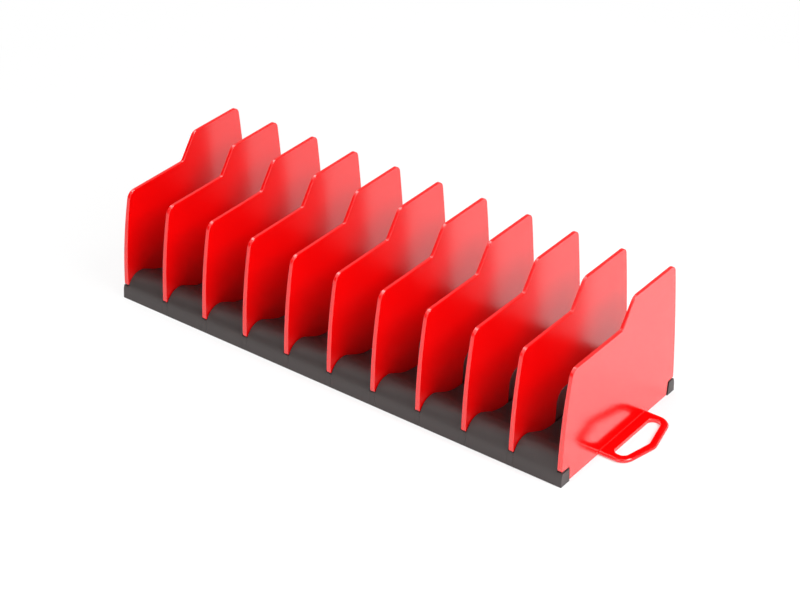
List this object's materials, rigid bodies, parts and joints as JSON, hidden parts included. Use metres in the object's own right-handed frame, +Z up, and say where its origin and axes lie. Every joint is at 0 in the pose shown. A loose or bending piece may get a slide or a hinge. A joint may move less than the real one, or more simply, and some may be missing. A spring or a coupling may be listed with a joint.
{
  "type": "pliers rack",
  "caption": "Open rack of upright stepped plates on a low rolled base, which holds pliers side by side in its slots, with a flat pull loop at each end.",
  "frame": {"origin": "centre of the rack's footprint, on the table that its lips stand on", "axes": "+X along the row of plates, -Y towards the low front edges of the plates, +Z up"},
  "size_m": [0.3676, 0.114, 0.0854],
  "materials": {
    "red_plastic": "satin moulded",
    "charcoal_plastic": "fine matt moulded",
    "screw_steel": "zinc plated"
  },
  "bodies": {
    "root": {"divider_1": "red_plastic", "divider_2": "red_plastic", "divider_3": "red_plastic", "divider_4": "red_plastic", "divider_5": "red_plastic", "divider_6": "red_plastic", "divider_7": "red_plastic", "divider_8": "red_plastic", "divider_9": "red_plastic", "left_end_plate": "red_plastic", "right_end_plate": "red_plastic", "base_bed": "charcoal_plastic", "bottom_plate": "charcoal_plastic", "divider_key_1": "charcoal_plastic", "divider_key_2": "charcoal_plastic", "divider_key_3": "charcoal_plastic", "divider_key_4": "charcoal_plastic", "divider_key_5": "charcoal_plastic", "divider_key_6": "charcoal_plastic", "divider_key_7": "charcoal_plastic", "divider_key_8": "charcoal_plastic", "divider_key_9": "charcoal_plastic", "bottom_screws": "screw_steel"}
  },
  "joints": []
}
